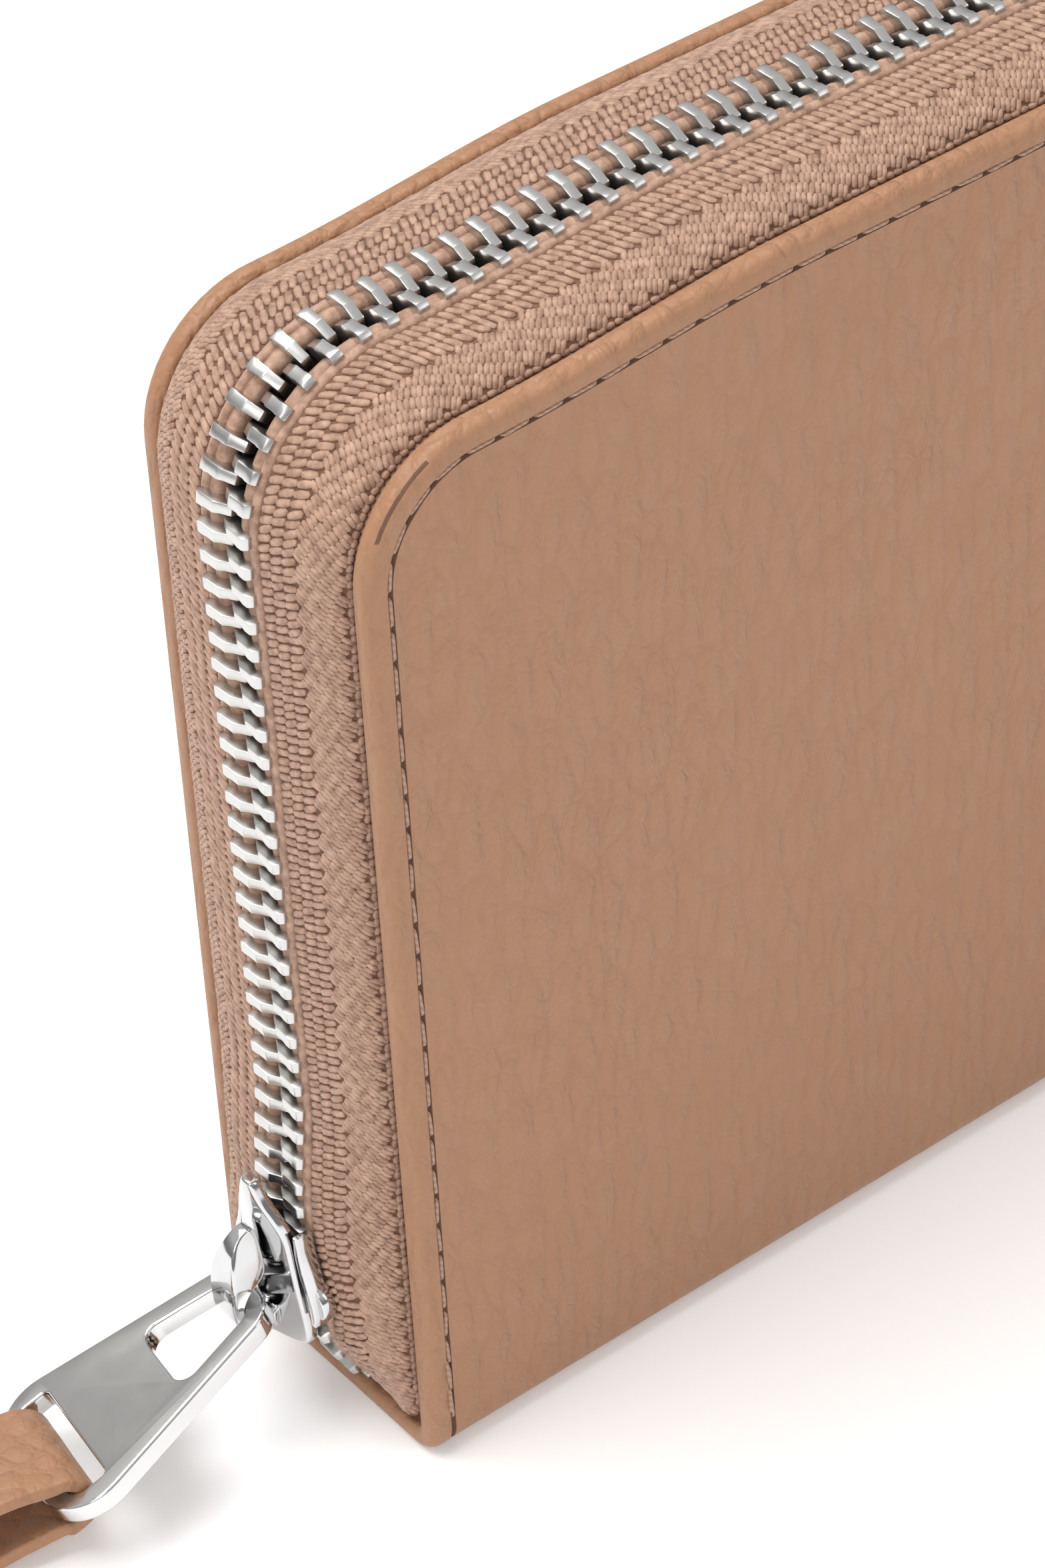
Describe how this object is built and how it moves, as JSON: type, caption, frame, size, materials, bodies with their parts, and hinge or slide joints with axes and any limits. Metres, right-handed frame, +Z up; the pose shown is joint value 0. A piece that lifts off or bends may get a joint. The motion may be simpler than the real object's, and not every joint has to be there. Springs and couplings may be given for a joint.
{
  "type": "zip-around wallet",
  "caption": "Long leather zip-around wallet standing on its spine, with a metal zip, a looped leather puller, card pockets and a zipped coin pocket.",
  "frame": {"origin": "centre of the flat underside of the spine", "axes": "X along the wallet's width, slider at the -X end; the front faces -Y; +Z up, away from the spine"},
  "size_m": [0.2803, 0.038, 0.1033],
  "materials": {
    "tan_leather": "satin, fine pebble grain",
    "pocket_leather": "satin",
    "lining_fabric": "matt weave",
    "zip_tape": "herringbone woven",
    "board": "grey-brown fibre board",
    "nickel_teeth": "worn nickel silver",
    "polished_metal": "polished",
    "brushed_metal": "fine brushed face, polished edges",
    "nylon": "dyed nylon"
  },
  "bodies": {
    "back_half": {"back_board": "board", "back_card_pocket_1": "pocket_leather", "back_card_pocket_2": "pocket_leather", "back_card_pocket_3": "pocket_leather", "back_cover": "tan_leather", "back_left_gusset": "lining_fabric", "back_lining": "lining_fabric", "back_right_gusset": "lining_fabric", "back_tape": "zip_tape", "back_teeth": "nickel_teeth", "back_zip_stop": "brushed_metal", "end_zip_stop": "brushed_metal", "front_left_gusset": "lining_fabric", "front_right_gusset": "lining_fabric", "spine_board": "board", "spine_cover": "tan_leather", "spine_lining": "lining_fabric"},
    "front_half": {"front_board": "board", "front_card_pocket_1": "pocket_leather", "front_card_pocket_2": "pocket_leather", "front_card_pocket_3": "pocket_leather", "front_cover": "tan_leather", "front_lining": "lining_fabric", "front_tape": "zip_tape", "front_teeth": "nickel_teeth", "front_zip_stop": "brushed_metal"},
    "coin_pocket": {"coin_back_coil": "nylon", "coin_back_tape": "zip_tape", "coin_back_wall": "pocket_leather", "coin_bottom": "pocket_leather", "coin_front_coil": "nylon", "coin_front_tape": "zip_tape", "coin_front_wall": "pocket_leather", "coin_left_side": "pocket_leather", "coin_right_side": "pocket_leather", "coin_zip_stop": "brushed_metal"},
    "coin_slider": {"coin_slider": "brushed_metal"},
    "coin_pull": {"coin_pull": "brushed_metal"},
    "slider": {"slider_body": "polished_metal", "slider_crown": "polished_metal"},
    "pull_tab": {"pull_tab": "brushed_metal"},
    "pull_strap": {"pull_strap": "tan_leather"}
  },
  "joints": [
    {"name": "cover_open", "type": "hinge", "parent": "back_half", "child": "front_half", "pos_m": [0, -0.0126, 0.0023], "axis": [1, 0, 0], "range_deg": [0, 50], "deforming": ["front_tape", "front_teeth", "back_teeth", "back_tape", "front_left_gusset", "front_right_gusset", "back_left_gusset", "back_right_gusset"]},
    {"name": "coin_pocket_follow", "type": "hinge", "parent": "back_half", "child": "coin_pocket", "pos_m": [0, 0, 0.0054], "axis": [1, 0, 0], "range_deg": [0, 25]},
    {"name": "slider_slide", "type": "slide", "parent": "back_half", "child": "slider", "axis": [0, 0, 1], "range_m": [0, 0.06]},
    {"name": "tab_swing", "type": "hinge", "parent": "slider", "child": "pull_tab", "pos_m": [-0.1038, 0, 0.0133], "axis": [-0.1929, -0.9689, 0.155], "range_deg": [-85, 40]},
    {"name": "strap_swing", "type": "hinge", "parent": "pull_tab", "child": "pull_strap", "pos_m": [-0.12372, 0.00258, 0.00464], "axis": [-0.1929, -0.9689, 0.155], "range_deg": [-12, 40]},
    {"name": "coin_slider_slide", "type": "slide", "parent": "coin_pocket", "child": "coin_slider", "axis": [1, 0, 0], "range_m": [0, 0.14], "deforming": ["coin_front_coil", "coin_back_coil", "coin_front_tape", "coin_back_tape"]},
    {"name": "coin_pull_swing", "type": "hinge", "parent": "coin_slider", "child": "coin_pull", "pos_m": [-0.0817, 0, 0.0778], "axis": [0, 1, 0], "range_deg": [-170, 0]}
  ],
  "couplings": [
    {"joint": "coin_pocket_follow", "follows": "cover_open", "ratio": 0.5}
  ]
}
